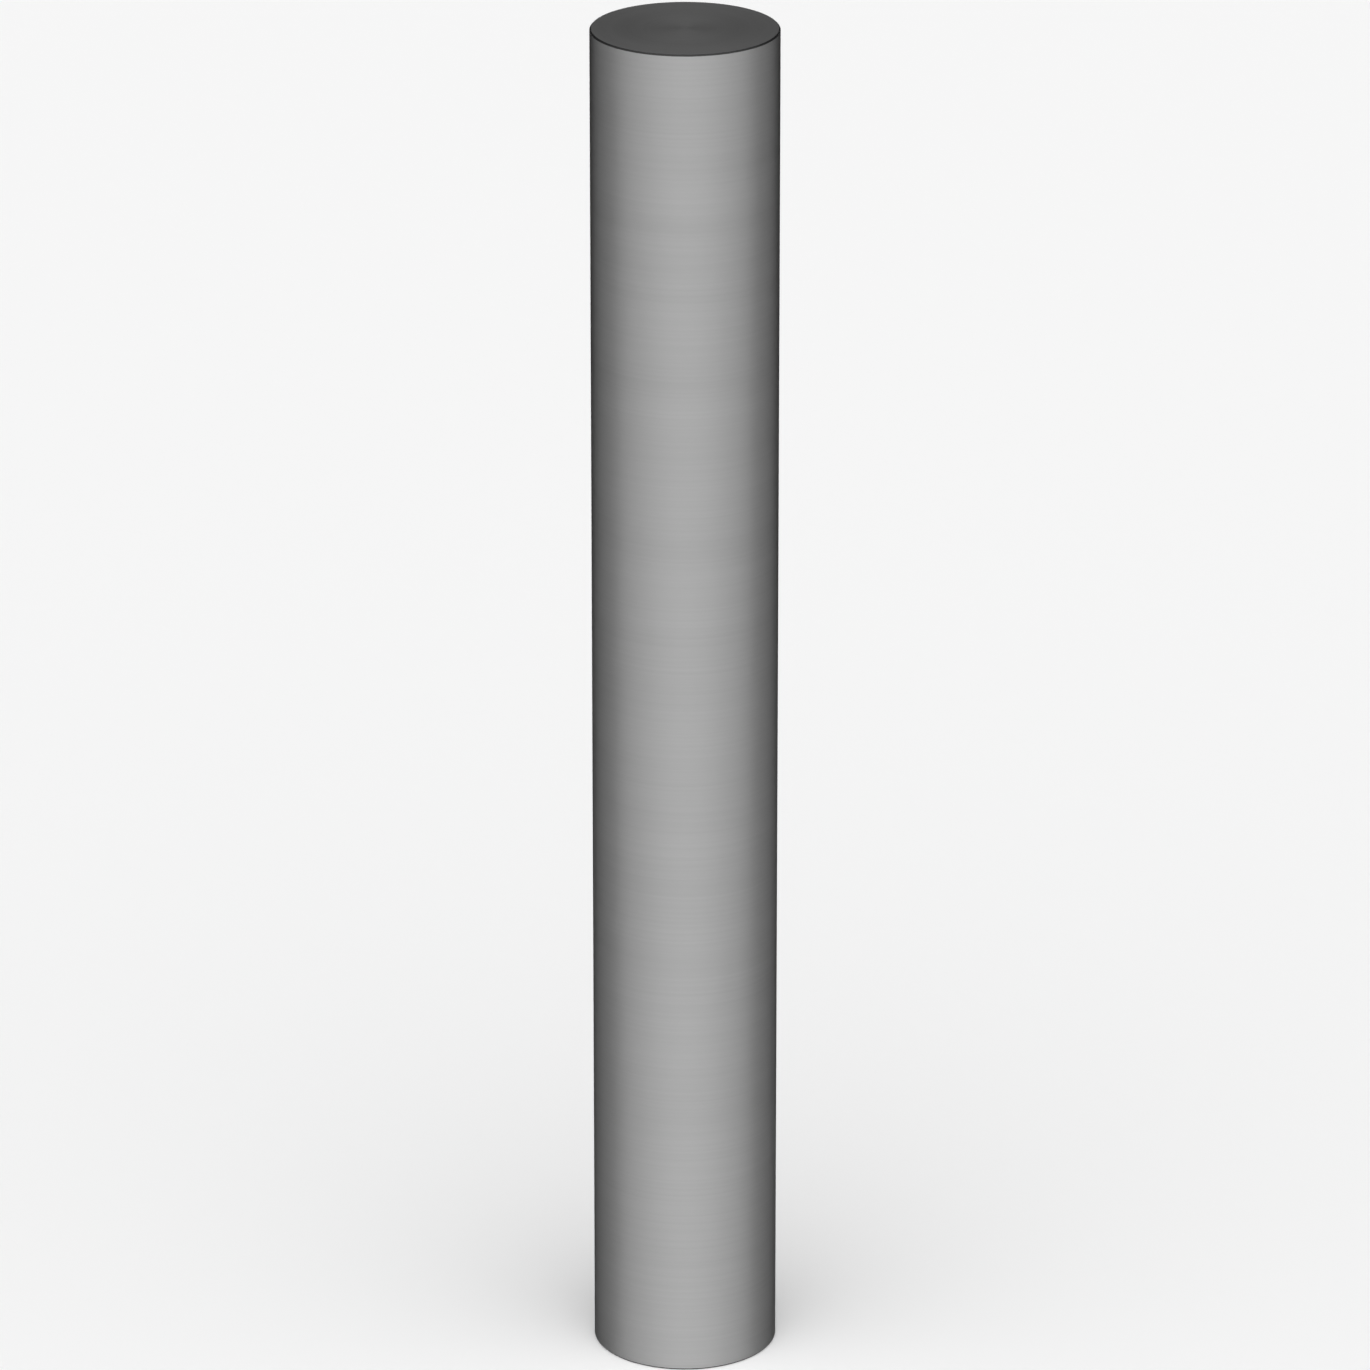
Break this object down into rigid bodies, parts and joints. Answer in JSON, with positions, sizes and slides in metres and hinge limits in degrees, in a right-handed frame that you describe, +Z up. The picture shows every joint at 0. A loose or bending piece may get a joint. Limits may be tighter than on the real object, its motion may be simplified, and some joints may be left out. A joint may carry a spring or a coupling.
{
  "type": "metal shaft",
  "caption": "Plain solid round metal shaft: a straight ground journal between flat, square-faced ends with lightly broken edges.",
  "frame": {"origin": "centre of the lower end face, where the shaft's axis meets the surface that it stands on", "axes": "+Z up along the shaft's axis; X and Y are free, because the shaft is a solid of revolution"},
  "size_m": [0.02, 0.02, 0.15],
  "materials": {
    "ground_steel": "bright steel, finely ground round the journal and faced square on the ends"
  },
  "bodies": {
    "root": {"shaft": "ground_steel"}
  },
  "joints": []
}
